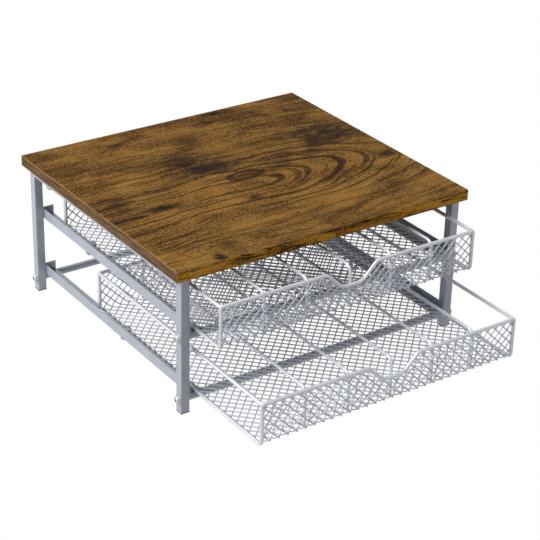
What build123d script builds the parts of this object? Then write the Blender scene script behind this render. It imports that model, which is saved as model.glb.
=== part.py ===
"""Two-tier drawer stand for coffee pods.

A laminated board rests on two steel side frames that three round cross bars join.
Two drawers of bent wire and diamond mesh slide on angle runners between the frames.

Millimetres. +X is to the right, the front is -Y, +Z is up. The origin lies on the
table, below the middle of the box that the stand fills with its drawers pulled out.
"""

import os
from math import radians, sqrt, tan

from build123d import *

# ---------------------------------------------------------------- driving dimensions
# Top board
board_width = 360.0
board_depth = 325.0
board_thickness = 12.0
board_edge_chamfer = 0.5

# Side frames of square tube
frame_height = 151.5
tube_size = 10.0
tube_wall = 1.0
leg_side_inset = 7.3
leg_front_inset = 4.7
leg_rear_inset = 4.7
cap_thickness = 1.2
cap_plug_length = 8.0

# Runners of angle strip
lower_runner_height = 19.4
runner_ledge_width = 15.0
runner_wall_height = 11.2
runner_thickness = 1.2
runner_rear_setback = 3.8

# Round cross bars, and the bolts that hold them
cross_bar_diameter = 8.0
bolt_diameter = 4.0
bolt_clearance = 0.1
bolt_grip = 10.0
bolt_head_diameter = 8.0
bolt_head_height = 2.6
bolt_head_chamfer = 1.2
bolt_socket_size = 2.5
bolt_socket_depth = 1.4
washer_diameter = 10.6
washer_thickness = 1.2

# Screws that hold the board
board_screw_diameter = 4.0
board_screw_clearance = 0.1
board_screw_bite = 8.0
board_screw_head_diameter = 7.5
board_screw_head_height = 2.6
board_screw_head_chamfer = 1.2
board_screw_from_leg = 34.8

# Drawers, and the room round them
drawer_side_gap = 5.3
rim_to_board_gap = 12.3
rim_to_runner_gap = 19.6
frame_wire = 4.0
rim_corner_radius = 3.0
side_bend_radius = 5.0
drawer_clearance = 0.3
upper_drawer_pull = 40.9
lower_drawer_pull = 113.5

# Finger scoop in the front of each drawer
scoop_width = 62.0
scoop_depth = 18.5
scoop_flank_angle = 45.0
scoop_shoulder_radius = 8.0
scoop_bottom_radius = 14.0

# Diamond mesh
strand = 1.3
mesh_pitch = 10.5

# Wires between the rows of pods
divider_wire = 3.2
divider_count = 5
divider_bend_radius = 8.0

# Stop hooks under each drawer
hook_thickness = 1.2
hook_length = 6.0
hook_reach = 10.5
hook_below_bar = 1.05
hook_ledge_clearance = 0.5
hook_from_rear = 48.0

# Flat sides that stand in for each round section and bend, to keep the model light
wire_sides = 8
rod_sides = 12
bend_chords = 3

# ---------------------------------------------------------------- derived sizes
half_board = board_width / 2
front_edge = -board_depth / 2
rear_edge = board_depth / 2

leg_x = half_board - leg_side_inset - tube_size / 2
front_leg_y = front_edge + leg_front_inset + tube_size / 2
rear_leg_y = rear_edge - leg_rear_inset - tube_size / 2
leg_inner_face = leg_x - tube_size / 2
leg_outer_face = leg_x + tube_size / 2

runner_front = front_leg_y - tube_size / 2
runner_rear = rear_leg_y + tube_size / 2 - runner_rear_setback
stop_face = runner_rear - runner_thickness
ledge_inner_edge = leg_inner_face - runner_ledge_width

bolt_hole = bolt_diameter + bolt_clearance
screw_hole = board_screw_diameter + board_screw_clearance
front_screw_y = front_leg_y + board_screw_from_leg
rear_screw_y = rear_leg_y - board_screw_from_leg

# The drawers fill the frame: between the legs, under the board, and to its front edge.
drawer_width = 2 * (leg_inner_face - drawer_side_gap)
drawer_depth = stop_face - drawer_clearance - front_edge
ledge_to_drawer = runner_thickness + drawer_clearance
height_for_drawers = frame_height - lower_runner_height - rim_to_runner_gap - rim_to_board_gap
drawer_height = height_for_drawers / 2 - ledge_to_drawer
runner_spacing = ledge_to_drawer + drawer_height + rim_to_runner_gap
divider_pitch = (drawer_width - frame_wire) / (divider_count + 1)

wire_radius = frame_wire / 2
side_x = drawer_width / 2 - wire_radius
wire_span = drawer_depth - frame_wire
rim_rise = drawer_height - frame_wire
closed_front = stop_face - drawer_clearance - wire_radius - wire_span
floor_rise = strand / 2
mesh_floor = floor_rise + strand
divider_inset = wire_radius + divider_wire / 2

rear_reach = rear_edge
front_reach = closed_front - wire_radius - max(upper_drawer_pull, lower_drawer_pull)
stand_shift = -(rear_reach + front_reach) / 2


# ---------------------------------------------------------------- helpers
def many_sided(diameter, sides):
    """A round section as a polygon, as wide across its flats as the round is."""
    turn = 180 / sides
    return Rot(0, 0, turn) * RegularPolygon(diameter / 2, sides, major_radius=False)


def chorded(points, bends):
    """Straight runs joined by bends, each bend a few chords of its arc."""
    stops = []
    for edge in FilletPolyline(*points, radius=bends).edges():
        steps = bend_chords if edge.geom_type == GeomType.CIRCLE else 1
        stops += [edge @ (step / steps) for step in range(steps)]
    return Polyline(*stops, points[-1])


def bent_wire(points, bends, diameter):
    """A wire along straight runs and chorded bends."""
    path = chorded(points, bends)
    section = Plane(origin=path @ 0, z_dir=path % 0) * many_sided(diameter, wire_sides)
    return sweep(section, path=path, transition=Transition.RIGHT)


def square_tube(length):
    """A square tube along +Z from the origin."""
    bore_size = tube_size - 2 * tube_wall
    return extrude(Rectangle(tube_size, tube_size) - Rectangle(bore_size, bore_size), length)


def rod(diameter, start, end):
    """A round rod along X, from one X to another."""
    section = Plane((start, 0, 0), z_dir=(1, 0, 0)) * many_sided(diameter, rod_sides)
    return extrude(section, end - start)


def stud(diameter, length):
    """A round rod along +Z from the origin."""
    return extrude(many_sided(diameter, rod_sides), length)


def group(shapes):
    """Separate solids that share one node."""
    return Compound([solid for shape in shapes for solid in shape.solids()])


def placed(place, shape):
    """A node with each of its solids moved."""
    return group([place * solid for solid in shape.solids()])


def diamond_mesh(outline):
    """Two crossing layers of straight strands, cut to a flat outline about its plane."""
    reach = outline.bounding_box().size
    longest = reach.X + reach.Y
    count = int(longest / mesh_pitch / 2) + 1
    solids = []
    for turn, level in ((-45, 0), (45, -strand)):
        for index in range(-count, count + 1):
            strip = Pos(index * mesh_pitch, outline.center().Y)
            strip = strip * Rot(0, 0, turn) * Rectangle(2 * longest, strand)
            piece = strip & outline
            if piece is None or piece.area < 2 * strand**2:
                continue
            solids += extrude(Pos(0, 0, level) * piece, strand).solids()
    return group(solids)


def mirrored(shape, side):
    """The shape itself on the right, or its mirror image on the left."""
    return shape if side > 0 else mirror(shape, Plane.YZ)


# ---------------------------------------------------------------- fixed frame
def top_board():
    """The board, with blind holes for its screws."""
    upright = (Align.CENTER, Align.CENTER, Align.MIN)
    board = Box(board_width, board_depth, board_thickness, align=upright)
    board = chamfer(board.edges(), board_edge_chamfer)
    for side in (-1, 1):
        for y in (front_screw_y, rear_screw_y):
            board -= Pos(side * leg_x, y, 0) * stud(screw_hole, board_screw_bite)
    return Pos(0, 0, frame_height) * board


def leg(side, y, bar_heights):
    """One leg, drilled across for each cross bar bolt."""
    tube = Pos(side * leg_x, y, cap_thickness) * square_tube(frame_height - cap_thickness)
    for height in bar_heights:
        tube -= Pos(0, y, height) * rod(bolt_hole, side * ledge_inner_edge, side * half_board)
    return tube


def leg_end_cap(x, y):
    """A plug whose flange closes the tube's lower end."""
    flange = extrude(Rectangle(tube_size, tube_size), cap_thickness)
    plug_size = tube_size - 2 * tube_wall
    plug = Pos(0, 0, cap_thickness) * extrude(Rectangle(plug_size, plug_size), cap_plug_length)
    return Pos(x, y, 0) * (flange + plug)


def top_rail(side):
    """The tube under the board, between the legs, drilled for the board's screws."""
    start = front_leg_y + tube_size / 2
    end = rear_leg_y - tube_size / 2
    middle = frame_height - tube_size / 2
    tube = Plane((side * leg_x, start, middle), z_dir=(0, 1, 0)) * square_tube(end - start)
    for y in (front_screw_y, rear_screw_y):
        tube -= Pos(side * leg_x, y, frame_height - tube_size) * stud(screw_hole, tube_size)
    return tube


def runner(side, height):
    """An angle strip on the legs' inner faces, with its ledge bent up behind as a stop."""
    wall_top = runner_wall_height
    thick = runner_thickness
    angle = Polygon(
        (0, 0),
        (runner_ledge_width, 0),
        (runner_ledge_width, thick),
        (thick, thick),
        (thick, wall_top),
        (0, wall_top),
        align=None,
    )
    start = Plane((leg_inner_face, runner_front, height), x_dir=(-1, 0, 0), z_dir=(0, 1, 0))
    strip = extrude(start * angle, runner_rear - runner_front)
    stop_width = runner_ledge_width - thick
    stop = Pos(leg_inner_face - thick, runner_rear, height + thick) * Box(
        stop_width, thick, wall_top - thick, align=(Align.MAX, Align.MAX, Align.MIN)
    )
    return mirrored(strip + stop, side)


def cross_bar(y, height):
    """A round bar between the legs, tapped at both ends for its bolts."""
    bar = rod(cross_bar_diameter, -leg_inner_face, leg_inner_face)
    for side in (-1, 1):
        bar -= rod(bolt_hole, side * (leg_inner_face - bolt_grip), side * leg_inner_face)
    return Pos(0, y, height) * bar


def cross_bar_bolt(side, y, height):
    """A round-headed bolt through the leg into the bar, with a hexagon socket."""
    head_start = leg_outer_face + washer_thickness
    head_end = head_start + bolt_head_height
    shank = rod(bolt_diameter, leg_inner_face - bolt_grip, head_start)
    head = rod(bolt_head_diameter, head_start, head_end)
    head = chamfer(head.edges().group_by(Axis.X)[-1], bolt_head_chamfer)
    hexagon = RegularPolygon(bolt_socket_size / 2, 6, major_radius=False)
    head -= extrude(Plane((head_end, 0, 0), z_dir=(1, 0, 0)) * hexagon, -bolt_socket_depth)
    return Pos(0, y, height) * mirrored(shank + head, side)


def cross_bar_washer(side, y, height):
    ring = rod(washer_diameter, leg_outer_face, leg_outer_face + washer_thickness)
    ring -= rod(bolt_hole, leg_outer_face, leg_outer_face + washer_thickness)
    return Pos(0, y, height) * mirrored(ring, side)


def board_screw(side, y):
    """A screw from below, through the top rail and into the board."""
    rail_bottom = frame_height - tube_size
    shank_length = tube_size + board_screw_bite
    shank = stud(board_screw_diameter, shank_length)
    head = stud(board_screw_head_diameter, -board_screw_head_height)
    head = chamfer(head.edges().group_by(Axis.Z)[0], board_screw_head_chamfer)
    return Pos(side * leg_x, y, rail_bottom) * (shank + head)


# ---------------------------------------------------------------- drawers
# A drawer is drawn with its front wires at Y = 0 and its lowest wires' middle at Z = 0.
def scoop_points():
    """The corners of the finger scoop, from left to right, at the rim's height."""
    half = scoop_width / 2
    half_bottom = half - scoop_depth / tan(radians(scoop_flank_angle))
    low = rim_rise - scoop_depth
    return [(-half, rim_rise), (-half_bottom, low), (half_bottom, low), (half, rim_rise)]


def scoop_bends():
    return [scoop_shoulder_radius, scoop_bottom_radius, scoop_bottom_radius, scoop_shoulder_radius]


def rim_wire():
    """The closed loop round the top of the drawer, dipping into the scoop."""
    left_scoop = [(x, 0, z) for x, z in scoop_points()[:2]]
    points = [
        (0, wire_span, rim_rise),
        (-side_x, wire_span, rim_rise),
        (-side_x, 0, rim_rise),
        *left_scoop,
        (0, 0, rim_rise - scoop_depth),
    ]
    left_half = bent_wire(points, [rim_corner_radius] * 2 + scoop_bends()[:2], frame_wire)
    return left_half + mirror(left_half, Plane.YZ)


def side_wire(side):
    """The U-shaped wire below the rim on one side."""
    top = rim_rise - wire_radius
    points = [
        (side * side_x, 0, top),
        (side * side_x, 0, 0),
        (side * side_x, wire_span, 0),
        (side * side_x, wire_span, top),
    ]
    return bent_wire(points, [side_bend_radius] * 2, frame_wire)


def panel_outline(with_scoop):
    """The flat sheet between the rim, the posts and the floor."""
    floor_line = mesh_floor - wire_radius
    corners = [(side_x, rim_rise), (side_x, floor_line), (-side_x, floor_line), (-side_x, rim_rise)]
    if not with_scoop:
        return offset(Polygon(*corners, align=None), -wire_radius)
    scoop_line = chorded([corners[3], *scoop_points(), corners[0]], scoop_bends())
    sheet = make_face([*scoop_line.edges(), *Polyline(*corners).edges()])
    return offset(sheet, -wire_radius, kind=Kind.INTERSECTION)


def front_mesh():
    return Plane.XZ * diamond_mesh(panel_outline(True))


def rear_mesh():
    outside = Plane((0, wire_span, 0), x_dir=(-1, 0, 0), z_dir=(0, 1, 0))
    return outside * diamond_mesh(panel_outline(False))


def floor_mesh():
    """The sheet between the side wires, which carries the front and rear panels."""
    width = 2 * side_x - frame_wire
    depth = wire_span + 2 * strand
    return Pos(0, wire_span / 2, floor_rise) * diamond_mesh(Rectangle(width, depth).face())


def divider(x):
    """An inverted U from the floor mesh, over at rim height and back to the floor."""
    front = divider_inset
    rear = wire_span - divider_inset
    points = [(x, front, mesh_floor), (x, front, rim_rise), (x, rear, rim_rise), (x, rear, mesh_floor)]
    return bent_wire(points, [divider_bend_radius] * 2, divider_wire)


def stop_hook(side):
    """A bent strip round the runner's ledge, deep enough to meet the front cross bar."""
    ledge_edge = ledge_inner_edge - hook_ledge_clearance
    top = floor_rise - strand
    ledge_bottom = -wire_radius - ledge_to_drawer
    bottom = ledge_bottom - cross_bar_diameter - hook_below_bar
    root = side_x - sqrt(wire_radius**2 - (top - hook_thickness / 2) ** 2)
    inner = ledge_edge - hook_thickness
    strip = Polygon(
        (root, top),
        (inner, top),
        (inner, bottom),
        (inner + hook_reach, bottom),
        (inner + hook_reach, bottom + hook_thickness),
        (ledge_edge, bottom + hook_thickness),
        (ledge_edge, top - hook_thickness),
        (root, top - hook_thickness),
        align=None,
    )
    middle = Plane((0, wire_span - hook_from_rear, 0), x_dir=(1, 0, 0), z_dir=(0, -1, 0))
    hook = extrude(middle * strip, hook_length / 2, both=True)
    return mirrored(hook - side_wire(1), side)


def drawer_parts(prefix, runner_height, pull):
    """All the pieces of one drawer, at its place on the runners."""
    place = Pos(0, closed_front - pull, runner_height + ledge_to_drawer + wire_radius)
    parts = {
        "rim_wire": rim_wire(),
        "left_side_wire": side_wire(-1),
        "right_side_wire": side_wire(1),
        "front_mesh": front_mesh(),
        "floor_mesh": floor_mesh(),
        "rear_mesh": rear_mesh(),
        "stop_hooks": group([stop_hook(-1), stop_hook(1)]),
    }
    for index in range(divider_count):
        x = (index - (divider_count - 1) / 2) * divider_pitch
        parts[f"divider_{index + 1}"] = divider(x)
    return {f"{prefix}_{name}": placed(place, shape) for name, shape in parts.items()}


# ---------------------------------------------------------------- assembly
def frame_parts():
    """The pieces that stand still."""
    heights = {"lower": lower_runner_height, "upper": lower_runner_height + runner_spacing}
    bar_height = {level: runner_at - cross_bar_diameter / 2 for level, runner_at in heights.items()}
    bars = {
        "upper_front": (front_leg_y, bar_height["upper"]),
        "lower_front": (front_leg_y, bar_height["lower"]),
        "lower_rear": (rear_leg_y, bar_height["lower"]),
    }
    parts = {"top_board": top_board()}
    for name, side in (("left", -1), ("right", 1)):
        parts[f"front_{name}_leg"] = leg(side, front_leg_y, bar_height.values())
        parts[f"rear_{name}_leg"] = leg(side, rear_leg_y, [bar_height["lower"]])
        parts[f"{name}_top_rail"] = top_rail(side)
        for level, height in heights.items():
            parts[f"{level}_{name}_runner"] = runner(side, height)
    for name, (y, height) in bars.items():
        parts[f"{name}_cross_bar"] = cross_bar(y, height)
    bolt_places = [(side, y, height) for side in (-1, 1) for y, height in bars.values()]
    leg_places = [(side * leg_x, y) for side in (-1, 1) for y in (front_leg_y, rear_leg_y)]
    screw_places = [(side, y) for side in (-1, 1) for y in (front_screw_y, rear_screw_y)]
    parts["leg_end_caps"] = group([leg_end_cap(*place) for place in leg_places])
    parts["cross_bar_bolts"] = group([cross_bar_bolt(*place) for place in bolt_places])
    parts["cross_bar_washers"] = group([cross_bar_washer(*place) for place in bolt_places])
    parts["board_screws"] = group([board_screw(*place) for place in screw_places])
    return parts


def main():
    os.makedirs("parts", exist_ok=True)
    parts = frame_parts()
    parts |= drawer_parts("upper", lower_runner_height + runner_spacing, upper_drawer_pull)
    parts |= drawer_parts("lower", lower_runner_height, lower_drawer_pull)
    for name, shape in parts.items():
        export_step(placed(Pos(0, stand_shift, 0), shape), f"parts/{name}.step")


main()
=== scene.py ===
"""Looks of a two-tier wire drawer stand with a wooden top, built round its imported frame.

Lengths are metres inside Blender. Sizes a user would change sit in the property groups.
"""

import math

import bmesh
import bpy
import numpy as np
from mathutils import Matrix, Vector


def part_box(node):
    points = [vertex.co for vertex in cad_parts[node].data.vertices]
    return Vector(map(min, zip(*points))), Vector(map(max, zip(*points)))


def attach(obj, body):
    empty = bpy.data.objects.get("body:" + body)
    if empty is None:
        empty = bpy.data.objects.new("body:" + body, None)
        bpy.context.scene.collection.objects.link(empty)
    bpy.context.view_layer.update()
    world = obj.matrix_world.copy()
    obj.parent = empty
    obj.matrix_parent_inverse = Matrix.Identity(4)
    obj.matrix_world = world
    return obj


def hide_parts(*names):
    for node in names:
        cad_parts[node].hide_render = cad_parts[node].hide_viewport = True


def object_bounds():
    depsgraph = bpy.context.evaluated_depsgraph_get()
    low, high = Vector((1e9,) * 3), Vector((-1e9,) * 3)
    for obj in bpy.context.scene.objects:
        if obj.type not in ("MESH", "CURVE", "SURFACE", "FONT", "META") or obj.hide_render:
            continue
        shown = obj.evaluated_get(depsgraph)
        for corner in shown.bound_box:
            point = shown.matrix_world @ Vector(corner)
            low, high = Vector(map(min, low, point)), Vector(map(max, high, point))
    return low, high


bl_info = {
    "name": "Wire drawer stand",
    "version": (1, 0, 0),
    "blender": (4, 5, 0),
    "location": "3D View > Sidebar > Drawer stand",
    "description": "Builds the pieces and finishes of a two-tier wire drawer stand",
    "category": "Object",
}

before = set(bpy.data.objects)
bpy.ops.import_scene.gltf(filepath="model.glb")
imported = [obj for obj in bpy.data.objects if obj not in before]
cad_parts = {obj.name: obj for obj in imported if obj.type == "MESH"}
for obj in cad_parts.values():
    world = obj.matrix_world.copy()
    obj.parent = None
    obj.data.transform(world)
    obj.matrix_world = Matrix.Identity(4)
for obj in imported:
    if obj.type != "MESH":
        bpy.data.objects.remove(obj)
cad_low, cad_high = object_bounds()

DRAWERS = ("upper", "lower")
SIDES = ("left", "right")
MM = 0.001

# Rounding of the strips and caps: points nearer than WELD are one, edges flatter than LEVEL go,
# edges sharper than SHARP are rounded in ROUND_STEPS, and finished edges past CREASE stay sharp.
WELD = 0.001 * MM
LEVEL = math.radians(1)
SHARP = math.radians(40)
CREASE = math.radians(38)
ROUND_STEPS = 3
TUBE_CORNER_STEPS = 5

# Fasteners: heights in metres, and shares of a radius, a width or a depth.
BOLT_HEIGHT = 2.6 * MM
BOLT_MOUTH = 0.62
SHANK_SIDES = 20
WASHER_EDGE = 0.25 * MM
WASHER_HOLE = 0.4
SCREW_SHANK = 0.26
SCREW_CHEEK = 0.15
DOME_STEPS = 8

# Mesh: strands shorter than this are left out, and the rim is looked for in these steps.
SHORTEST_STRAND = 2 * MM
RIM_SEARCH = 0.1 * MM
FOLD_STEPS = 6
SCOOP_LINE_STEPS = 12
DIVIDERS = 5

# Stage: half the floor's width, its depth below the feet, and each lamp's name, the setting
# that holds its power, its width and its place.
FLOOR_HALF = 8.0
FLOOR_DROP = 0.1 * MM
LAMPS = (
    ("key_lamp", "key_power", 2.2, (-2.4, 0.6, 2.0)),
    ("top_lamp", "top_power", 2.5, (0.3, 0.2, 2.8)),
)


# ---- sizes and colours
def number(label, text, default, **more):
    """A plain number property."""
    return bpy.props.FloatProperty(name=label, description=text, default=default, **more)


def count(label, text, default, low, high):
    """A whole number property."""
    return bpy.props.IntProperty(
        name=label, description=text, default=default, min=low, max=high,
    )


def length(label, text, default, low=0.0):
    """A length property in metres, shown in the scene's units."""
    return number(
        label, text, default, min=low, max=1.0, precision=5, unit="LENGTH", subtype="DISTANCE",
    )


def colour(label, text, default):
    """A linear colour property."""
    return bpy.props.FloatVectorProperty(
        name=label, description=text, default=default, size=3, min=0.0, max=1.0, subtype="COLOR",
    )


class StandSizes(bpy.types.PropertyGroup):
    """Sizes of the fixed frame's rounding and fasteners."""

    tube_corner: length("Tube corner", "Outer corner radius of the square tubes", 1.0 * MM)
    strip_edge: length("Strip edge", "Radius of the edges and bends of the strips", 0.5 * MM)
    cap_edge: length("Cap edge", "Radius of the end caps' edges", 0.6 * MM)
    screw_head: length("Screw head", "Width of a board screw's domed head", 10.4 * MM)
    screw_drop: length("Screw drop", "Depth of a board screw's head below the rail", 4.6 * MM)
    bolt_crown: length("Bolt crown", "Height of the domed part of a bolt head", 1.9 * MM)
    bolt_socket: length("Bolt socket", "Width across the flats of a bolt's socket", 2.5 * MM)
    bolt_socket_depth: length("Socket depth", "Depth of a bolt's socket", 1.4 * MM)
    round_sides: count("Round sides", "Facets round a bar or a bolt", 40, 12, 96)


class DrawerSizes(bpy.types.PropertyGroup):
    """Sizes of the drawers' wires and mesh."""

    rim_corner: length("Rim corner", "Bend radius at the rim's corners", 3.0 * MM)
    side_bend: length("Side bend", "Bend radius of the wires under the rim", 5.0 * MM)
    divider_bend: length("Divider bend", "Bend radius of the dividers", 8.0 * MM)
    scoop_width: length("Scoop width", "Width of the finger scoop at the rim", 62.0 * MM)
    scoop_depth: length("Scoop depth", "Depth of the finger scoop", 18.5 * MM)
    scoop_shoulder: length("Scoop shoulder", "Bend radius beside the scoop", 8.0 * MM)
    scoop_bottom: length("Scoop bottom", "Bend radius in the scoop", 14.0 * MM)
    mesh_pitch: length("Mesh pitch", "Width of one diamond", 10.5 * MM, 2 * MM)
    strand: length("Strand", "Thickness of one strand", 1.3 * MM)
    mesh_fold: length("Mesh fold", "Fold radius where the floor turns up into a panel", 3.0 * MM)
    wire_sides: count("Wire sides", "Facets round a wire", 16, 6, 48)
    strand_sides: count("Strand sides", "Facets round a strand", 8, 4, 24)
    bend_steps: count("Bend steps", "Steps in a quarter bend", 8, 2, 24)


class StandColours(bpy.types.PropertyGroup):
    """Colours of the finishes."""

    wood_light: colour("Wood light", "Brightest gold of the board", (0.37, 0.190, 0.042))
    wood_warm: colour("Wood warm", "Golden brown ground of the board", (0.190, 0.095, 0.026))
    wood_brown: colour("Wood brown", "Browner ground of the board", (0.080, 0.039, 0.014))
    wood_ring: colour("Wood ring", "Rings and streaks of the board", (0.038, 0.015, 0.008))
    wood_dark: colour("Wood dark", "Dark smears of the board", (0.017, 0.011, 0.008))
    band_light: colour("Band light", "Brightest gold of the front band", (0.98, 0.46, 0.060))
    band_warm: colour("Band warm", "Golden ground of the front band", (0.60, 0.26, 0.034))
    band_brown: colour("Band brown", "Browner ground of the front band", (0.17, 0.065, 0.013))
    side_wood: colour("Side wood", "Band at the board's sides", (0.185, 0.112, 0.057))
    # Pale arris colour: partly the board's core and partly a painted highlight along the edges.
    arris_core_and_highlight: colour("Arris", "Pale line where two faces of the board meet", (0.42, 0.26, 0.11))
    coat: colour("Coat", "Silver grey coat of the tubes, bars and strips", (0.44, 0.465, 0.53))
    wire_coat: colour("Wire coat", "Brighter coat of the drawer wires", (0.74, 0.77, 0.82))
    mesh_coat: colour("Mesh coat", "Bright coat of the mesh", (0.60, 0.625, 0.68))
    zinc: colour("Zinc", "Plated fasteners", (0.60, 0.605, 0.60))
    plastic: colour("Plastic", "Plastic end caps", (0.02, 0.022, 0.025))


class StageSettings(bpy.types.PropertyGroup):
    """Floor, light and camera."""

    floor_colour: colour("Floor", "Colour that the floor lends to the light", (0.50, 0.50, 0.50))
    sky: number("Sky", "Strength of the even light from all round", 0.16, min=0.0, max=4.0)
    key_power: number(
        "Key", "Power of the large lamp at the left", 99.0, min=0.0, subtype="POWER",
    )
    top_power: number("Top", "Power of the lamp overhead", 11.0, min=0.0, subtype="POWER")
    lens: number("Lens", "Focal length", 113.216, min=1.0, unit="CAMERA")
    azimuth: number(
        "Azimuth", "Camera's turn about the stand", math.radians(-34.165), subtype="ANGLE",
    )
    elevation: number(
        "Elevation", "Camera's height angle", math.radians(26.779), subtype="ANGLE",
    )
    roll: number(
        "Roll", "Camera's turn about its own axis", math.radians(1.121), subtype="ANGLE",
    )
    place: bpy.props.FloatVectorProperty(
        name="Place", description="Camera's place",
        default=(-0.92517, -1.32289, 0.91053), size=3, subtype="XYZ",
    )
    shift: bpy.props.FloatVectorProperty(
        name="Shift", description="Lens shift", default=(0.04, -0.04), size=2,
    )


# ---- node helpers
def fresh_material(name):
    """An empty node material and its shader."""
    material = bpy.data.materials.new(name)
    material.use_nodes = True
    tree = material.node_tree
    tree.nodes.clear()
    shader = tree.nodes.new("ShaderNodeBsdfPrincipled")
    add(tree, "ShaderNodeOutputMaterial", Surface=shader.outputs["BSDF"])
    return material, tree, shader


def feed(tree, socket, value):
    """Links a socket to an output, or sets its value."""
    if isinstance(value, bpy.types.NodeSocket):
        tree.links.new(value, socket)
    else:
        socket.default_value = value


def put(tree, node, **inputs):
    """A node's inputs set or linked: i0 and so on by place, others by name, with _ for a space."""
    for key, value in inputs.items():
        by_place = key[0] == "i" and key[1:].isdigit()
        feed(tree, node.inputs[int(key[1:]) if by_place else key.replace("_", " ")], value)
    return node


def add(tree, kind, **inputs):
    """A new node with its inputs."""
    return put(tree, tree.nodes.new(kind), **inputs)


def maths(tree, operation, *values):
    """The result of one sum."""
    node = tree.nodes.new("ShaderNodeMath")
    node.operation = operation
    for socket, value in zip(node.inputs, values):
        feed(tree, socket, value)
    return node.outputs[0]


def times(tree, first, second):
    """The product of two values."""
    return maths(tree, "MULTIPLY", first, second)


def scaled(tree, value, factor, offset):
    """A value times a factor, plus an offset."""
    return maths(tree, "MULTIPLY_ADD", value, factor, offset)


def larger(tree, first, second):
    """The larger of two values."""
    return maths(tree, "MAXIMUM", first, second)


def ramp(tree, value, *stops):
    """A colour or grey by position, from (position, colour) pairs."""
    node = tree.nodes.new("ShaderNodeValToRGB")
    tree.links.new(value, node.inputs[0])
    band = node.color_ramp
    while len(band.elements) < len(stops):
        band.elements.new(0.5)
    for element, (position, tint) in zip(band.elements, stops):
        element.position = position
        element.color = (tint, tint, tint, 1) if isinstance(tint, (int, float)) else (*tint, 1)
    return node.outputs["Color"]


def mixed(tree, share, first, second):
    """Two colours mixed by a share."""
    node = tree.nodes.new("ShaderNodeMix")
    node.data_type = "RGBA"
    for place, value in ((0, share), (6, first), (7, second)):
        linked = isinstance(value, bpy.types.NodeSocket)
        feed(tree, node.inputs[place], value if linked else (*value, 1))
    return node.outputs[2]


def noise(tree, vector, scale, detail=3.0, roughness=0.5, distortion=0.0):
    """A noise value over stretched coordinates."""
    node = add(
        tree, "ShaderNodeTexNoise", Vector=vector, Scale=scale, Detail=detail,
        Roughness=roughness, Distortion=distortion,
    )
    return node.outputs["Fac"]


def stretched(tree, vector, scale, place=(0, 0, 0)):
    """Coordinates scaled per axis."""
    return add(tree, "ShaderNodeMapping", Vector=vector, Scale=scale, Location=place).outputs[0]


def bumped(tree, height, distance, strength):
    """A normal raised by a height."""
    bump = add(tree, "ShaderNodeBump", Height=height, Distance=distance, Strength=strength)
    return bump.outputs[0]


def shaded(tint, factor):
    """A colour made darker or lighter."""
    return tuple(min(1.0, part * factor) for part in tint)


# ---- finishes
# Dark smears of the laminate's print: X, Y, half length, half width, in metres, and strength.
SMEARS = (
    (-0.020, 0.084, 0.066, 0.026, 1.5),
    (-0.040, 0.104, 0.040, 0.036, 1.1),
    (0.148, 0.098, 0.066, 0.042, 1.25),
    (0.110, 0.114, 0.050, 0.016, 0.9),
    (-0.120, 0.024, 0.034, 0.010, 1.5),
    (-0.160, 0.018, 0.056, 0.005, 1.4),
    (-0.172, 0.052, 0.048, 0.010, 1.1),
    (0.040, 0.193, 0.024, 0.014, 1.3),
    (0.065, 0.212, 0.030, 0.012, 0.9),
    (0.140, 0.176, 0.010, 0.006, 1.4),
    (-0.127, -0.099, 0.010, 0.010, 1.5),
    (-0.112, -0.078, 0.024, 0.009, 0.9),
    (0.165, 0.014, 0.028, 0.012, 1.2),
    (-0.024, -0.005, 0.014, 0.009, 1.1),
    (0.026, 0.028, 0.012, 0.008, 1.0),
    (-0.080, 0.188, 0.018, 0.007, 0.9),
    (0.155, -0.095, 0.040, 0.020, 0.6),
)

# The oval knot: X, Y, half length and half width, in metres.
KNOT = (0.0, 0.049, 0.0225, 0.010)


# Noises of the board's print: stretch along X, Y and Z in marks per metre, offset, detail,
# roughness and distortion.
LAYERS = {
    "sway": ((7.0, 12.0, 1.0), (0, 0, 0), 2.0, 0.5, 0.0),
    "wobble": ((30.0, 55.0, 1.0), (4.0, 2.0, 0), 3.0, 0.6, 0.0),
    "wander": ((60.0, 160.0, 1.0), (0, 0, 0), 4.0, 0.7, 0.0),
    "patches": ((13.0, 26.0, 1.0), (3.1, 1.7, 0), 5.0, 0.55, 0.6),
    "streaks": ((16.0, 420.0, 8.0), (0, 0, 0), 3.0, 0.6, 0.0),
    "dashes": ((90.0, 260.0, 20.0), (3.0, 8.0, 0), 4.0, 0.7, 0.0),
    "grit": ((300.0, 520.0, 1.0), (1.0, 5.0, 0), 3.0, 0.8, 0.0),
    "specks": ((330.0, 600.0, 1.0), (6.0, 2.0, 0), 2.0, 0.6, 0.0),
    "bands": ((3.0, 170.0, 3.0), (0, 0, 0), 2.0, 0.5, 0.0),
    "threads": ((9.0, 300.0, 5.0), (5.0, 0, 0), 2.0, 0.5, 0.0),
    "smoke": ((40.0, 95.0, 1.0), (7.0, 3.0, 0), 9.0, 0.78, 0.5),
    "burns": ((20.0, 150.0, 1.0), (2.0, 9.0, 0), 6.0, 0.7, 0.8),
    "side_grain": ((1.0, 26.0, 420.0), (0, 0, 0), 5.0, 0.75, 0.0),
}

# The tongue of rings: its middle line's Y, how fast the rings close on it along X, and the
# turn of the ring wave in radians per metre.
TONGUE_Y = 0.026
TONGUE_SLOPE = 0.345
RING_WAVE = 483.0

# How square a face stands to an axis: past FACE_ON it is a face of the board, and under
# OBLIQUE it is an arris, which is mixed toward a pale colour by the share below: partly the
# board's pale core and partly a painted highlight, as if light caught the chamfer.
FACE_ON = 0.8
OBLIQUE = 0.85
ARRIS_HIGHLIGHT_SHARE = 0.65


def layer(tree, name, coordinates):
    """A noise of the board's print, by name."""
    scale, place, detail, roughness, distortion = LAYERS[name]
    vector = stretched(tree, coordinates, scale, place)
    return noise(tree, vector, 1.0, detail, roughness, distortion)


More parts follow.
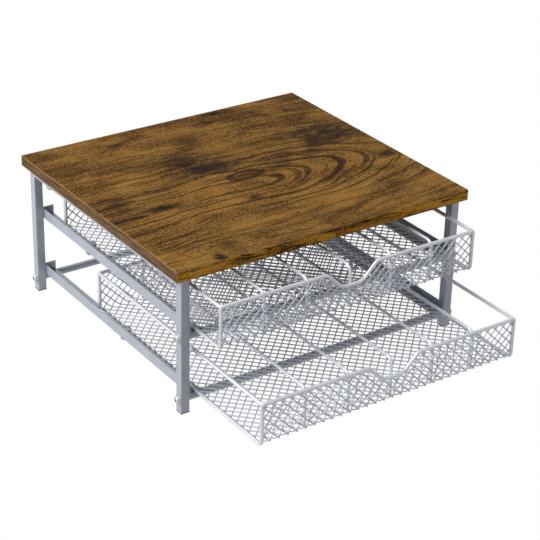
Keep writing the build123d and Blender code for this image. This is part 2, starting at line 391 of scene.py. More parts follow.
def oval(tree, x, y, middle_x, middle_y, half_x, half_y):
    """The distance from an oval's middle, which is 1 at its outline."""
    across = maths(tree, "DIVIDE", maths(tree, "SUBTRACT", x, middle_x), half_x)
    up = maths(tree, "DIVIDE", maths(tree, "SUBTRACT", y, middle_y), half_y)
    return maths(tree, "SQRT", scaled(tree, across, across, times(tree, up, up)))


def smear_mask(tree, x, y):
    """How near a place is to a smear: its strength at its middle, and 0 from its edge on."""
    nearest = 0.0
    for *sizes, strength in SMEARS:
        share = maths(tree, "SUBTRACT", 1.0, oval(tree, x, y, *sizes))
        nearest = larger(tree, nearest, times(tree, share, strength))
    return nearest


def growth_rings(tree, x, y, flat):
    """Distance across the rings, straight at the left and turning round a tongue at the right."""
    sway = scaled(tree, layer(tree, "sway", flat), 0.034, -0.017)
    wobble = scaled(tree, layer(tree, "wobble", flat), 0.007, -0.0035)
    bent = maths(tree, "ADD", sway, wobble)
    offset = maths(tree, "ADD", maths(tree, "SUBTRACT", y, TONGUE_Y), bent)
    ahead = times(tree, larger(tree, x, 0.0), TONGUE_SLOPE)
    rings = maths(tree, "SQRT", scaled(tree, offset, offset, times(tree, ahead, ahead)))
    return rings, offset


def knot_mask(tree, x, y, flat):
    """The oval knot beside the tongue, darkest at its outline."""
    edge = scaled(tree, layer(tree, "wander", flat), 0.9, oval(tree, x, y, *KNOT))
    stops = (0.50, 0.5), (0.64, 0.95), (0.74, 0.9), (0.80, 0.0)
    return ramp(tree, times(tree, edge, 0.5), *stops)


def grain_lines(tree, x, y, flat, along_rings, rings, patches, dashes):
    """How dark the rings, the threads between them, the specks and the knot are."""
    waves = scaled(tree, rings, RING_WAVE, scaled(tree, patches, 1.5, 1.3))
    waves = scaled(tree, maths(tree, "SINE", waves), 0.16, layer(tree, "bands", along_rings))
    lines = ramp(tree, waves, (0.58, 0.0), (0.65, 1.0))
    stops = (0.0, 1.0), (0.42, 1.0), (0.62, 0.6), (0.85, 0.35)
    reach = ramp(tree, times(tree, rings, 8.0), *stops)
    fade = ramp(tree, scaled(tree, x, 2.5, 0.5), (0.2, 0.6), (0.5, 1.0))
    lines = times(tree, times(tree, lines, reach), fade)
    threads = ramp(tree, layer(tree, "threads", along_rings), (0.55, 0.0), (0.61, 0.85))
    calm = ramp(tree, scaled(tree, y, 2.5, 0.3), (0.55, 1.0), (0.75, 0.45))
    lines = larger(tree, lines, times(tree, threads, calm))
    lines = times(tree, lines, ramp(tree, dashes, (0.40, 1.0), (0.60, 0.70)))
    specks = ramp(tree, layer(tree, "specks", flat), (0.60, 0.0), (0.68, 0.75))
    return larger(tree, larger(tree, lines, specks), knot_mask(tree, x, y, flat))


def smoky_smears(tree, x, y, flat, grit):
    """How dark the smears are, with smoky and gritty edges."""
    smoke = scaled(tree, layer(tree, "smoke", flat), 4.2, -2.34)
    smear = maths(tree, "ADD", smear_mask(tree, x, y), smoke)
    smear = maths(tree, "ADD", smear, scaled(tree, grit, 1.2, -0.6))
    return ramp(tree, smear, (0.0, 0.0), (0.40, 0.55), (1.0, 0.98))


def laminate(colours):
    """Rustic wood laminate: golden ground, grain along X, a tongue of rings and dark smears."""
    material, tree, shader = fresh_material("rustic_laminate")
    coords = add(tree, "ShaderNodeTexCoord")
    place = coords.outputs["Object"]
    x, y, z = add(tree, "ShaderNodeSeparateXYZ", Vector=place).outputs
    unfolded = maths(tree, "SUBTRACT", y, z)
    flat = add(tree, "ShaderNodeCombineXYZ", X=x, Y=unfolded, Z=0.0).outputs[0]
    top_y = maths(tree, "ADD", unfolded, cad_high[2])
    rings, offset = growth_rings(tree, x, top_y, flat)
    along_rings = add(tree, "ShaderNodeCombineXYZ", X=x, Y=rings, Z=offset).outputs[0]

    patches = layer(tree, "patches", flat)
    streaks = layer(tree, "streaks", along_rings)
    dashes = layer(tree, "dashes", along_rings)
    grit = layer(tree, "grit", flat)
    tone = scaled(tree, patches, 1.3, times(tree, streaks, 0.6))
    tone = scaled(tree, grit, 2.0, tone)
    tone = scaled(tree, dashes, 0.4, tone)
    tone = maths(tree, "SUBTRACT", tone, scaled(tree, top_y, 0.4, 1.56))
    lines = grain_lines(tree, x, top_y, flat, along_rings, rings, patches, dashes)
    cell_places = stretched(tree, flat, (45.0, 110.0, 1.0))
    cells = add(tree, "ShaderNodeTexVoronoi", Vector=cell_places, Scale=1.0)
    pits = ramp(tree, cells.outputs["Distance"], (0.05, 0.75), (0.14, 0.0))

    def printed(light, warm, brown, stain):
        """The print in one set of colours, with its dark stains."""
        ground = ramp(tree, tone, (0.30, brown), (0.50, warm), (0.72, light))
        ringed = mixed(tree, lines, ground, colours.wood_ring)
        stained = mixed(tree, stain, ringed, colours.wood_dark)
        return mixed(tree, pits, stained, colours.wood_dark)

    smears = smoky_smears(tree, x, top_y, flat, grit)
    top = printed(colours.wood_light, colours.wood_warm, colours.wood_brown, smears)
    burns = ramp(tree, layer(tree, "burns", flat), (0.50, 0.0), (0.60, 0.92))
    band = printed(colours.band_light, colours.band_warm, colours.band_brown, burns)
    dim, bright = shaded(colours.side_wood, 0.45), shaded(colours.side_wood, 1.15)
    side_wood = ramp(tree, layer(tree, "side_grain", place), (0.40, dim), (0.60, bright))
    facing = add(tree, "ShaderNodeSeparateXYZ", Vector=coords.outputs["Normal"]).outputs
    across, along, upward = [maths(tree, "ABSOLUTE", axis) for axis in facing]
    squarest = larger(tree, larger(tree, across, along), upward)
    # Painted highlight: slanted faces at the board's edges are mixed toward the pale arris colour,
    # partly core colour and partly painted light.
    arris_core_and_highlight = times(tree, maths(tree, "LESS_THAN", squarest, OBLIQUE), ARRIS_HIGHLIGHT_SHARE)
    look = mixed(tree, maths(tree, "GREATER_THAN", along, FACE_ON), top, band)
    look = mixed(tree, maths(tree, "GREATER_THAN", across, FACE_ON), look, side_wood)
    look = mixed(tree, arris_core_and_highlight, look, colours.arris_core_and_highlight)

    height = maths(tree, "ADD", streaks, times(tree, grit, 0.6))
    put(
        tree, shader, Base_Color=look, Roughness=ramp(tree, tone, (0.3, 0.66), (0.8, 0.50)),
        Specular_IOR_Level=0.02, Normal=bumped(tree, height, 0.07 * MM, 0.5),
    )
    return material


def plain_finish(name, tint, scale, detail, dim, bright):
    """A material whose colour wavers a little over a noise."""
    material, tree, shader = fresh_material(name)
    place = add(tree, "ShaderNodeTexCoord").outputs["Object"]
    grain = noise(tree, place, scale, detail)
    shade = ramp(tree, grain, (0.3, shaded(tint, dim)), (0.7, shaded(tint, bright)))
    put(tree, shader, Base_Color=shade)
    return material, tree, shader, place, grain


def powder_coat(name, tint, metallic):
    """Silver powder coat: fine orange peel and a slight change of tone."""
    material, tree, shader, place, _ = plain_finish(name, tint, 35.0, 3.0, 0.93, 1.05)
    peel = noise(tree, place, 1600.0, 2.0)
    put(
        tree, shader, Metallic=metallic, Roughness=ramp(tree, peel, (0.3, 0.28), (0.7, 0.38)),
        Normal=bumped(tree, peel, 0.04 * MM, 0.6),
    )
    return material


def zinc_plate(name, tint):
    """Plated steel with a faint turned texture."""
    material, tree, shader, _, grain = plain_finish(name, tint, 900.0, 3.0, 0.85, 1.0)
    put(tree, shader, Metallic=0.6, Roughness=ramp(tree, grain, (0.3, 0.38), (0.7, 0.52)))
    return material


def dark_plastic(name, tint):
    """Matt moulded plastic."""
    material, tree, shader, _, grain = plain_finish(name, tint, 2500.0, 2.0, 0.8, 1.2)
    put(tree, shader, Roughness=0.6, Normal=bumped(tree, grain, 0.03 * MM, 0.6))
    return material


# Each finish: its colour setting, how it is made, and what else that takes.
FINISHES = {
    "powder_coat": ("coat", powder_coat, 0.2),
    "wire_coat": ("wire_coat", powder_coat, 0.35),
    "mesh_coat": ("mesh_coat", powder_coat, 0.2),
    "zinc_plate": ("zinc", zinc_plate),
    "dark_plastic": ("plastic", dark_plastic),
}

# The finish of each material slot.
SLOT_FINISHES = {
    "frame_steel": "powder_coat",
    "wire_steel": "wire_coat",
    "mesh_steel": "mesh_coat",
    "fastener": "zinc_plate",
    "cap_plastic": "dark_plastic",
}


def finish_of(name):
    """The finish of that name, made on first use."""
    setting, make, *more = FINISHES[name]
    tint = getattr(bpy.context.scene.stand_colours, setting)
    return bpy.data.materials.get(name) or make(name, tint, *more)


# ---- geometry helpers
def rounded(points, radii, steps, closed=False):
    """Points along straight runs, each corner turned into an arc of its radius."""
    points = [Vector(p) for p in points]
    count = len(points)
    path = []
    for index, point in enumerate(points):
        end = not closed and index in (0, count - 1)
        radius = 0 if end else radii[index]
        if not radius:
            path.append(point)
            continue
        before = (points[index - 1] - point).normalized()
        after = (points[(index + 1) % count] - point).normalized()
        half = before.angle(after) / 2
        reach = radius / math.tan(half)
        centre = point + (before + after).normalized() * (radius / math.sin(half))
        start = point + before * reach - centre
        finish = point + after * reach - centre
        turn = start.angle(finish)
        arc_steps = max(2, round(steps * turn / (math.pi / 2)))
        for step in range(arc_steps + 1):
            share = step / arc_steps
            blend = start * (math.sin((1 - share) * turn)) + finish * math.sin(share * turn)
            path.append(centre + blend / math.sin(turn))
    return path


def ring_points(centre, first, other, radii):
    """Points evenly round a centre, each at its radius."""
    points = []
    for side, radius in enumerate(radii):
        angle = 2 * math.pi * side / len(radii)
        points.append(centre + (first * math.cos(angle) + other * math.sin(angle)) * radius)
    return points


def tube(path, radius, sides, closed=False):
    """Vertices and faces of a round wire along a path."""
    path = [Vector(p) for p in path]
    count = len(path)
    tangents = []
    for index in range(count):
        before = path[index - 1] if closed or index else path[index]
        after = path[(index + 1) % count] if closed or index < count - 1 else path[index]
        tangents.append((after - before).normalized())
    normal = tangents[0].orthogonal().normalized()
    verts, faces = [], []
    for index, (point, tangent) in enumerate(zip(path, tangents)):
        if index:
            normal = (tangents[index - 1].rotation_difference(tangent) @ normal)
            normal = (normal - tangent * normal.dot(tangent)).normalized()
        other = tangent.cross(normal)
        verts += ring_points(point, normal, other, [radius] * sides)
    rows = count if closed else count - 1
    twist = 0
    if closed:
        last = (tangents[-1].rotation_difference(tangents[0]) @ normal)
        first = tangents[0].orthogonal().normalized()
        angle = math.atan2(tangents[0].cross(first).dot(last), first.dot(last))
        twist = round(angle / (2 * math.pi / sides))
    for row in range(rows):
        following = (row + 1) % count
        slip = twist if closed and following == 0 else 0
        for side in range(sides):
            step = (side + 1) % sides
            beyond = [following * sides + (corner + slip) % sides for corner in (step, side)]
            faces.append((row * sides + side, row * sides + step, *beyond))
    if not closed:
        faces.append(tuple(reversed(range(sides))))
        faces.append(tuple(range((count - 1) * sides, count * sides)))
    return verts, faces


def turned(profile, sides, axis_start, axis):
    """A lathed form: (radius, height) pairs turned about an axis. A radius of 0 closes an end."""
    axis = Vector(axis).normalized()
    first = axis.orthogonal().normalized()
    other = axis.cross(first)
    verts, faces, rings = [], [], []
    for radius, height in profile:
        centre = Vector(axis_start) + axis * height
        if radius == 0:
            rings.append([len(verts)])
            verts.append(centre)
            continue
        rings.append(list(range(len(verts), len(verts) + sides)))
        verts += ring_points(centre, first, other, [radius] * sides)
    for lower, upper in zip(rings, rings[1:]):
        for side in range(sides):
            step = (side + 1) % sides
            if len(lower) == 1:
                faces.append((lower[0], upper[step], upper[side]))
            elif len(upper) == 1:
                faces.append((lower[side], lower[step], upper[0]))
            else:
                faces.append((lower[side], lower[step], upper[step], upper[side]))
    return verts, faces


def prism(outline, start, end):
    """A flat outline carried from one offset to another, closed at both ends."""
    count = len(outline)
    verts = [Vector(point) + Vector(shift) for shift in (start, end) for point in outline]
    faces = [(i, (i + 1) % count, (i + 1) % count + count, i + count) for i in range(count)]
    faces += [tuple(reversed(range(count))), tuple(range(count, 2 * count))]
    return verts, faces


def joined(*forms):
    """Several forms as one set of vertices and faces."""
    verts, faces = [], []
    for more_verts, more_faces in forms:
        faces += [tuple(index + len(verts) for index in face) for face in more_faces]
        verts += more_verts
    return verts, faces


def piece(name, form, body, slot, nodes, flat_faced=False, finish=None):
    """A piece that rides on a body and stands for its nodes, in its slot's finish or its own."""
    verts, faces = form
    mesh = bpy.data.meshes.new(name)
    mesh.from_pydata([tuple(v) for v in verts], [], faces)
    mesh.validate()
    mesh.update()
    mesh.shade_smooth()
    mesh.set_sharp_from_angle(angle=CREASE)
    mesh.materials.append(finish_of(finish or SLOT_FINISHES[slot]))
    made = bpy.data.objects.new(name, mesh)
    bpy.context.scene.collection.objects.link(made)
    bpy.context.view_layer.objects.active = made
    made.select_set(True)
    bpy.ops.object.mode_set(mode="EDIT")
    bpy.ops.mesh.select_all(action="SELECT")
    bpy.ops.mesh.normals_make_consistent(inside=False)
    bpy.ops.object.mode_set(mode="OBJECT")
    made.select_set(False)
    if flat_faced:
        weighted = made.modifiers.new("even_faces", "WEIGHTED_NORMAL")
        weighted.keep_sharp = True
    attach(made, body)
    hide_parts(*nodes)
    return made


def softened(node, width):
    """A node's form with its sharp edges rounded over, kept inside the node's box."""
    form = bmesh.new()
    form.from_mesh(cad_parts[node].data)
    bmesh.ops.remove_doubles(form, verts=form.verts, dist=WELD)
    bmesh.ops.recalc_face_normals(form, faces=form.faces)
    bmesh.ops.dissolve_limit(form, angle_limit=LEVEL, verts=form.verts, edges=form.edges)
    sharp = [edge for edge in form.edges if edge.calc_face_angle(0.0) > SHARP]
    bmesh.ops.bevel(
        form, geom=sharp, offset=width, segments=ROUND_STEPS, profile=0.5,
        affect="EDGES", clamp_overlap=True,
    )
    form.verts.index_update()
    low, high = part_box(node)
    verts = [Vector(np.clip(vertex.co, low, high).tolist()) for vertex in form.verts]
    faces = [tuple(vertex.index for vertex in face.verts) for face in form.faces]
    form.free()
    return verts, faces


def dress(node, material):
    """Gives a node its finish."""
    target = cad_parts[node]
    target.data.materials.clear()
    target.data.materials.append(material)


# ---- fixed frame
def square_tube(low, high, corner, axis):
    """A tube of square outline that fills a box, with its length along an axis."""
    centre = (low + high) / 2
    half = min(high[i] - low[i] for i in range(3) if i != axis) / 2
    corners = [(-half, -half, 0), (half, -half, 0), (half, half, 0), (-half, half, 0)]
    turn = Matrix.Rotation(-math.pi / 2, 3, "X") if axis == 1 else Matrix.Identity(3)
    outline = [turn @ p for p in rounded(corners, [corner] * 4, TUBE_CORNER_STEPS, closed=True)]
    start, end = centre.copy(), centre.copy()
    start[axis], end[axis] = low[axis], high[axis]
    return prism(outline, start, end)


class STAND_OT_board(bpy.types.Operator):
    """Finish the top board in rustic laminate"""

    bl_idname = "stand.board"
    bl_label = "Top board"

    def execute(self, context):
        dress("top_board", laminate(context.scene.stand_colours))
        return {"FINISHED"}


class STAND_OT_tubes(bpy.types.Operator):
    """Build the legs and the rails under the board as square tubes"""

    bl_idname = "stand.tubes"
    bl_label = "Square tubes"

    def execute(self, context):
        corner = context.scene.stand_sizes.tube_corner
        for side in SIDES:
            lengths = {f"front_{side}_leg": 2, f"rear_{side}_leg": 2, f"{side}_top_rail": 1}
            for node, axis in lengths.items():
                form = square_tube(*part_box(node), corner, axis)
                piece(f"{node}_tube", form, "frame", "frame_steel", [node], True)
        return {"FINISHED"}


class STAND_OT_caps(bpy.types.Operator):
    """Build the plastic plugs under the legs with rounded edges"""

    bl_idname = "stand.caps"
    bl_label = "Leg end caps"

    def execute(self, context):
        form = softened("leg_end_caps", context.scene.stand_sizes.cap_edge)
        piece("leg_end_caps_rounded", form, "frame", "cap_plastic", ["leg_end_caps"], True)
        return {"FINISHED"}


class STAND_OT_runners(bpy.types.Operator):
    """Build the angle strips that carry the drawers with rounded bends"""

    bl_idname = "stand.runners"
    bl_label = "Runners"

    def execute(self, context):
        for drawer in DRAWERS:
            for side in SIDES:
                node = f"{drawer}_{side}_runner"
                form = softened(node, context.scene.stand_sizes.strip_edge)
                piece(f"{node}_rounded", form, "frame", "frame_steel", [node], True)
        return {"FINISHED"}


class STAND_OT_cross_bars(bpy.types.Operator):
    """Build the round bars between the side frames"""

    bl_idname = "stand.cross_bars"
    bl_label = "Cross bars"

    def execute(self, context):
        sides = context.scene.stand_sizes.round_sides
        for name in ("upper_front", "lower_front", "lower_rear"):
            node = f"{name}_cross_bar"
            low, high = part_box(node)
            middle = (low + high) / 2
            radius = (high.z - low.z) / 2
            ends = [(x, middle.y, middle.z) for x in (low.x, high.x)]
            form = tube(ends, radius, sides)
            piece(f"{node}_round", form, "frame", "frame_steel", [node])
        return {"FINISHED"}


def islands(node):
    """The box of each separate solid of a node."""
    form = bmesh.new()
    form.from_mesh(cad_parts[node].data)
    bmesh.ops.remove_doubles(form, verts=form.verts, dist=WELD)
    left = set(form.verts)
    boxes = []
    while left:
        reached = [left.pop()]
        for vertex in reached:
            linked = {edge.other_vert(vertex) for edge in vertex.link_edges} & left
            left -= linked
            reached += linked
        places = np.array([vertex.co for vertex in reached])
        boxes.append((Vector(places.min(axis=0)), Vector(places.max(axis=0))))
    form.free()
    return sorted(boxes, key=lambda box: tuple(round(c, 4) for c in box[0]))


def hexagon_ring(width, height, sides, centre, axis):
    """A hexagon sampled at as many points as a round has sides."""
    axis = Vector(axis).normalized()
    first = axis.orthogonal().normalized()
    other = axis.cross(first)
    radii = []
    for side in range(sides):
        angle = 2 * math.pi * side / sides
        folded = (angle + math.pi / 6) % (math.pi / 3) - math.pi / 6
        radii.append(width / 2 / math.cos(folded))
    return ring_points(Vector(centre) + axis * height, first, other, radii)


def bolt_head(seat, axis, radius, height, sizes):
    """A button head with a hexagon socket, from its slightly drawn-in seat outwards."""
    sides = sizes.round_sides - sizes.round_sides % 12
    rim = height - sizes.bolt_crown
    mouth = sizes.bolt_socket * BOLT_MOUTH
    profile = [(0, 0), (radius * 0.97, 0), (radius, 0.1 * rim), (radius, rim)]
    for step in range(1, DOME_STEPS):
        angle = math.pi / 2 * step / DOME_STEPS
        away = mouth + (radius - mouth) * math.cos(angle)
        profile.append((away, rim + sizes.bolt_crown * math.sin(angle)))
    profile.append((mouth, height))
    verts, faces = turned(profile, sides, seat, axis)
    start = len(verts) - sides
    top = hexagon_ring(sizes.bolt_socket, height - 0.1 * MM, sides, seat, axis)
    low = hexagon_ring(sizes.bolt_socket, height - sizes.bolt_socket_depth, sides, seat, axis)
    floor = Vector(seat) + Vector(axis).normalized() * (height - sizes.bolt_socket_depth * 1.15)
    rings = [start, len(verts), len(verts) + sides]
    verts += top + low + [floor]
    for first, second in zip(rings, rings[1:]):
        for side in range(sides):
            step = (side + 1) % sides
            faces.append((first + side, first + step, second + step, second + side))
    for side in range(sides):
        faces.append((rings[2] + side, rings[2] + (side + 1) % sides, len(verts) - 1))
    return verts, faces


def outward(low, high):
    """The way a fastener faces along X, 1 or -1, and its box's inner and outer X."""
    return (1, low.x, high.x) if low.x + high.x > 0 else (-1, high.x, low.x)


def washer(low, high, sizes):
    """A flat ring with its outer edges broken."""
    out, inner, outer = outward(low, high)
    middle = (low + high) / 2
    radius, thick, edge = (high.z - low.z) / 2, abs(outer - inner), WASHER_EDGE
    hole = radius * WASHER_HOLE
    profile = [
        (hole, 0), (radius - edge, 0), (radius, edge), (radius, thick - edge),
        (radius - edge, thick), (hole, thick), (hole, 0),
    ]
    return turned(profile, sizes.round_sides, (inner, middle.y, middle.z), (out, 0, 0))


def bolt(low, high, sizes):
    """A bolt's head and its shank."""
    out, tip, end = outward(low, high)
    middle = (low + high) / 2
    radius = (high.z - low.z) / 2
    seat = Vector((end - out * BOLT_HEIGHT, middle.y, middle.z))
    head = bolt_head(seat, (out, 0, 0), radius, BOLT_HEIGHT, sizes)
    shank = tube([(tip, middle.y, middle.z), seat], radius / 2, SHANK_SIDES)
    return joined(head, shank)


def board_screw(low, high, sizes):
    """A screw with a domed head below the rail and its shank up in the board."""
    middle = (low + high) / 2
    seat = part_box("left_top_rail")[0].z
    radius, drop = sizes.screw_head / 2, sizes.screw_drop
    shank = SCREW_SHANK * (high.x - low.x)
    profile = [(0, seat - drop)]
    for step in range(1, DOME_STEPS + 1):
        angle = math.pi / 2 * step / DOME_STEPS
        depth = drop * (SCREW_CHEEK + (1 - SCREW_CHEEK) * math.cos(angle))
        profile.append((radius * math.sin(angle), seat - depth))
    profile += [(radius, seat), (shank, seat), (shank, high.z), (0, high.z)]
    return turned(profile, sizes.round_sides, (middle.x, middle.y, 0), (0, 0, 1))


class STAND_OT_fasteners(bpy.types.Operator):
    """Build the cross bar bolts, their washers and the board's screws"""

    bl_idname = "stand.fasteners"
    bl_label = "Bolts, washers and screws"

    def execute(self, context):
        sizes = context.scene.stand_sizes
        for name, node, build in (
            ("bolt_washers", "cross_bar_washers", washer),
            ("bolt_heads", "cross_bar_bolts", bolt),
            ("board_screw_set", "board_screws", board_screw),
        ):
            forms = [build(low, high, sizes) for low, high in islands(node)]
            piece(name, joined(*forms), "frame", "fastener", [node])
        return {"FINISHED"}


# ---- drawers
def drawer_lines(drawer):
    """The middle lines of a drawer's wires: half width, front, rear, rim and floor."""
    rim_low, rim_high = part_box(f"{drawer}_rim_wire")
    side_low, side_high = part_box(f"{drawer}_left_side_wire")
    radius = (side_high.x - side_low.x) / 2
    return {
        "wire": radius,
        "half": (rim_high.x - rim_low.x) / 2 - radius,
        "front": rim_low.y + radius,
        "rear": rim_high.y - radius,
        "rim": rim_high.z - radius,
        "floor": side_low.z + radius,
    }


def scoop_corners(lines, sizes):
    """The corners of the finger scoop from left to right, as (x, z)."""
    half = sizes.scoop_width / 2
    bottom = half - sizes.scoop_depth
    low = lines["rim"] - sizes.scoop_depth
    return [(-half, lines["rim"]), (-bottom, low), (bottom, low), (half, lines["rim"])]


def scoop_radii(sizes):
    return [sizes.scoop_shoulder, sizes.scoop_bottom, sizes.scoop_bottom, sizes.scoop_shoulder]


class STAND_OT_rims(bpy.types.Operator):
    """Bend the rim wire of each drawer, with its finger scoop"""

    bl_idname = "stand.rims"
    bl_label = "Rim wires"

    def execute(self, context):
        sizes = context.scene.drawer_sizes
        for drawer in DRAWERS:
            at = drawer_lines(drawer)
            half, front, rear, top = at["half"], at["front"], at["rear"], at["rim"]
            scoop = [(x, front, z) for x, z in scoop_corners(at, sizes)]
            points = [(half, rear, top), (-half, rear, top), (-half, front, top)]
            points += [*scoop, (half, front, top)]
            radii = [sizes.rim_corner] * 3 + scoop_radii(sizes) + [sizes.rim_corner]
            path = rounded(points, radii, sizes.bend_steps, closed=True)
            form = tube(path, at["wire"], sizes.wire_sides, closed=True)
            node = f"{drawer}_rim_wire"
            piece(f"{drawer}_rim", form, f"{drawer}_drawer", "wire_steel", [node])
        return {"FINISHED"}


class STAND_OT_side_wires(bpy.types.Operator):
    """Bend the wires that hang below each rim at the sides"""

    bl_idname = "stand.side_wires"
    bl_label = "Side wires"

    def execute(self, context):
        sizes = context.scene.drawer_sizes
        for drawer in DRAWERS:
            at = drawer_lines(drawer)
            for side, sign in zip(SIDES, (-1, 1)):
                x = sign * at["half"]
                points = [(x, at["front"], at["rim"]), (x, at["front"], at["floor"])]
                points += [(x, at["rear"], at["floor"]), (x, at["rear"], at["rim"])]
                bend = sizes.side_bend
                path = rounded(points, [0, bend, bend, 0], sizes.bend_steps)
                form = tube(path, at["wire"], sizes.wire_sides)
                node = f"{drawer}_{side}_side_wire"
                piece(f"{node}_bent", form, f"{drawer}_drawer", "wire_steel", [node])
        return {"FINISHED"}


def folded_sheet(at, sizes):
    """A function from a place on the flat sheet and a depth into it, to a place in the drawer."""
    fold = sizes.mesh_fold
    floor = at["floor"] + sizes.strand / 2
    drop = at["rim"] - floor - fold
    arc = fold * math.pi / 2
    run = at["rear"] - at["front"] - 2 * fold
    marks = [0, drop, drop + arc, drop + arc + run, drop + 2 * arc + run, 2 * drop + 2 * arc + run]

    def place(across, along, depth):
        from_end = min(along, marks[-1] - along)
        reach = fold - depth
        if from_end <= marks[1]:
            y, z = depth, at["rim"] - from_end
        elif from_end <= marks[2]:
            turn = (from_end - marks[1]) / fold
            y, z = fold - reach * math.cos(turn), floor + fold - reach * math.sin(turn)
        else:
            y, z = fold + from_end - marks[2], floor + depth
        return Vector((across, at["front"] + y if from_end == along else at["rear"] - y, z))

    return place, marks


def scoop_line(at, sizes):
    """A function from X to how far the rim dips below its top there."""
    corners = scoop_corners(at, sizes)
    ends = [(-at["half"], at["rim"]), *corners, (at["half"], at["rim"])]
    points = [(x, 0, z) for x, z in ends]
    path = rounded(points, [0, *scoop_radii(sizes), 0], SCOOP_LINE_STEPS)
    xs, drops = [p.x for p in path], [at["rim"] - p.z for p in path]
    return lambda x: float(np.interp(x, xs, drops))


def strand_path(start, lean, place, marks, dip, half, depth):
    """The path of one strand across the sheet, from the front rim to the rear one."""
    total = marks[-1]
    low = max(0.0, (-half - start) * lean if lean > 0 else (half - start) * lean)
    high = min(total, (half - start) * lean if lean > 0 else (-half - start) * lean)
    if high - low < SHORTEST_STRAND:
        return None
    along = low
    while along < min(high, marks[1]) and along < dip(start + lean * along):
        along += RIM_SEARCH
    if high - along < SHORTEST_STRAND:
        return None
    stops = [along, high]
    for first, last in ((marks[1], marks[2]), (marks[3], marks[4])):
        stops += [first + (last - first) * i / FOLD_STEPS for i in range(FOLD_STEPS + 1)]
    stops = sorted(s for s in set(stops) if along <= s <= high)
    return [place(start + lean * s, s, depth) for s in stops]


class STAND_OT_mesh(bpy.types.Operator):
    """Weave the diamond mesh of each drawer, folded up at the front and the rear"""

    bl_idname = "stand.mesh"
    bl_label = "Diamond mesh"

    def execute(self, context):
        sizes = context.scene.drawer_sizes
        for drawer in DRAWERS:
            at = drawer_lines(drawer)
            place, marks = folded_sheet(at, sizes)
            dip = scoop_line(at, sizes)
            forms = []
            for lean, depth in ((1, -sizes.strand / 2), (-1, sizes.strand / 2)):
                reach = at["half"] + marks[-1]
                count = int(reach / sizes.mesh_pitch) + 1
                for index in range(-count, count + 1):
                    start = index * sizes.mesh_pitch
                    path = strand_path(start, lean, place, marks, dip, at["half"], depth)
                    if path:
                        forms.append(tube(path, sizes.strand / 2, sizes.strand_sides))
            nodes = [f"{drawer}_{sheet}_mesh" for sheet in ("front", "floor", "rear")]
            piece(f"{drawer}_mesh", joined(*forms), f"{drawer}_drawer", "mesh_steel", nodes)
        return {"FINISHED"}


class STAND_OT_dividers(bpy.types.Operator):
    """Bend the wires that part the rows"""

    bl_idname = "stand.dividers"
    bl_label = "Dividers"

    def execute(self, context):
        sizes = context.scene.drawer_sizes
        for drawer in DRAWERS:
            for number in range(1, DIVIDERS + 1):
                node = f"{drawer}_divider_{number}"
                low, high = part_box(node)
                radius = (high.x - low.x) / 2
                x = (low.x + high.x) / 2
                front, rear, top = low.y + radius, high.y - radius, high.z - radius
                points = [(x, front, low.z), (x, front, top), (x, rear, top), (x, rear, low.z)]
                bend = sizes.divider_bend
                path = rounded(points, [0, bend, bend, 0], sizes.bend_steps)
                form = tube(path, radius, sizes.wire_sides)
                piece(f"{node}_bent", form, f"{drawer}_drawer", "wire_steel", [node])
        return {"FINISHED"}


class STAND_OT_hooks(bpy.types.Operator):
    """Build the stop hooks under each drawer with rounded bends"""

    bl_idname = "stand.hooks"
    bl_label = "Stop hooks"

    def execute(self, context):
        for drawer in DRAWERS:
            node = f"{drawer}_stop_hooks"
            form = softened(node, context.scene.stand_sizes.strip_edge)
            body = f"{drawer}_drawer"
            piece(f"{node}_rounded", form, body, "wire_steel", [node], True, "powder_coat")
        return {"FINISHED"}


# ---- stage
def white_to_camera(tree, shader, kind):
    """Shows white to the camera and in reflections, and the given shader to other rays."""
    path = add(tree, "ShaderNodeLightPath")
    seen = maths(tree, "MAXIMUM", path.outputs["Is Camera Ray"], path.outputs["Is Glossy Ray"])
    seen = maths(tree, "MAXIMUM", seen, path.outputs["Is Transmission Ray"])
    white = add(tree, f"ShaderNode{kind}", Color=(1, 1, 1, 1), Strength=1.0)
    mix = add(tree, "ShaderNodeMixShader", i0=seen, i1=shader, i2=white.outputs[0])
    return mix.outputs[0]


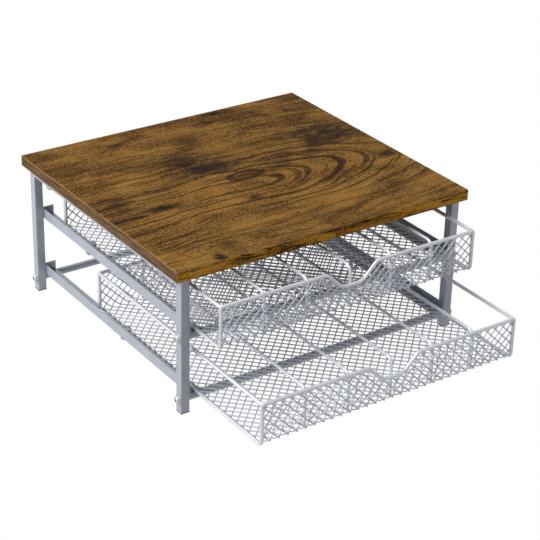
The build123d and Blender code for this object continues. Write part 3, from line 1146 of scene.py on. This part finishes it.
class STAND_OT_stage(bpy.types.Operator):
    """Lay the floor, hang the lamps and place the camera"""

    bl_idname = "stand.stage"
    bl_label = "Stage"

    def execute(self, context):
        settings = context.scene.stage_settings
        self.lay_floor(settings)
        self.light(context, settings)
        self.place_camera(context, settings)
        context.scene.view_settings.view_transform = "Standard"
        return {"FINISHED"}

    def lay_floor(self, settings):
        half = FLOOR_HALF
        corners = [(-half, -half, 0), (half, -half, 0), (half, half, 0), (-half, half, 0)]
        mesh = bpy.data.meshes.new("floor")
        mesh.from_pydata(corners, [], [(0, 1, 2, 3)])
        floor = bpy.data.objects.new("floor", mesh)
        floor.location.z = -FLOOR_DROP
        bpy.context.scene.collection.objects.link(floor)
        material, tree, shader = fresh_material("floor_paper")
        paper = (*settings.floor_colour, 1)
        put(tree, shader, Base_Color=paper, Roughness=0.9, Specular_IOR_Level=0.0)
        output = next(node for node in tree.nodes if node.type == "OUTPUT_MATERIAL")
        put(tree, output, Surface=white_to_camera(tree, shader.outputs[0], "Emission"))
        mesh.materials.append(material)

    def light(self, context, settings):
        world = bpy.data.worlds.new("studio")
        context.scene.world = world
        world.use_nodes = True
        tree = world.node_tree
        tree.nodes.clear()
        even = add(tree, "ShaderNodeBackground", Color=(1, 1, 1, 1), Strength=settings.sky)
        seen = white_to_camera(tree, even.outputs[0], "Background")
        add(tree, "ShaderNodeOutputWorld", Surface=seen)
        for name, power, size, place in LAMPS:
            self.lamp(name, getattr(settings, power), size, place)

    def lamp(self, name, power, size, place):
        data = bpy.data.lights.new(name, "AREA")
        data.energy = power
        data.shape = "SQUARE"
        data.size = size
        lamp = bpy.data.objects.new(name, data)
        lamp.location = place
        lamp.rotation_euler = Vector(place).to_track_quat("Z", "Y").to_euler()
        bpy.context.scene.collection.objects.link(lamp)

    def place_camera(self, context, settings):
        data = bpy.data.cameras.new("camera")
        data.sensor_width = 36.0
        data.lens = settings.lens
        data.shift_x, data.shift_y = settings.shift
        camera = bpy.data.objects.new("camera", data)
        turn = Matrix.Rotation(settings.azimuth, 4, "Z")
        tilt = Matrix.Rotation(math.pi / 2 - settings.elevation, 4, "X")
        roll = Matrix.Rotation(settings.roll, 4, "Z")
        camera.matrix_world = Matrix.Translation(settings.place) @ turn @ tilt @ roll
        context.scene.collection.objects.link(camera)
        context.scene.camera = camera


# ---- add-on
class STAND_PT_panel(bpy.types.Panel):
    """Lists the stand's operators"""

    bl_idname = "STAND_PT_panel"
    bl_label = "Drawer stand"
    bl_space_type = "VIEW_3D"
    bl_region_type = "UI"
    bl_category = "Drawer stand"

    def draw(self, context):
        for operator in OPERATORS:
            self.layout.operator(operator.bl_idname)


OPERATORS = (
    STAND_OT_board,
    STAND_OT_tubes,
    STAND_OT_caps,
    STAND_OT_runners,
    STAND_OT_cross_bars,
    STAND_OT_fasteners,
    STAND_OT_rims,
    STAND_OT_side_wires,
    STAND_OT_mesh,
    STAND_OT_dividers,
    STAND_OT_hooks,
    STAND_OT_stage,
)
GROUPS = {
    "stand_sizes": StandSizes,
    "drawer_sizes": DrawerSizes,
    "stand_colours": StandColours,
    "stage_settings": StageSettings,
}


def register():
    for group in GROUPS.values():
        bpy.utils.register_class(group)
    for name, group in GROUPS.items():
        setattr(bpy.types.Scene, name, bpy.props.PointerProperty(type=group))
    for operator in OPERATORS:
        bpy.utils.register_class(operator)
    bpy.utils.register_class(STAND_PT_panel)


def unregister():
    bpy.utils.unregister_class(STAND_PT_panel)
    for operator in reversed(OPERATORS):
        bpy.utils.unregister_class(operator)
    for name, group in GROUPS.items():
        delattr(bpy.types.Scene, name)
        bpy.utils.unregister_class(group)


def main():
    register()
    for operator in OPERATORS:
        category, name = operator.bl_idname.split(".")
        getattr(getattr(bpy.ops, category), name)()


if __name__ == "__main__":
    main()
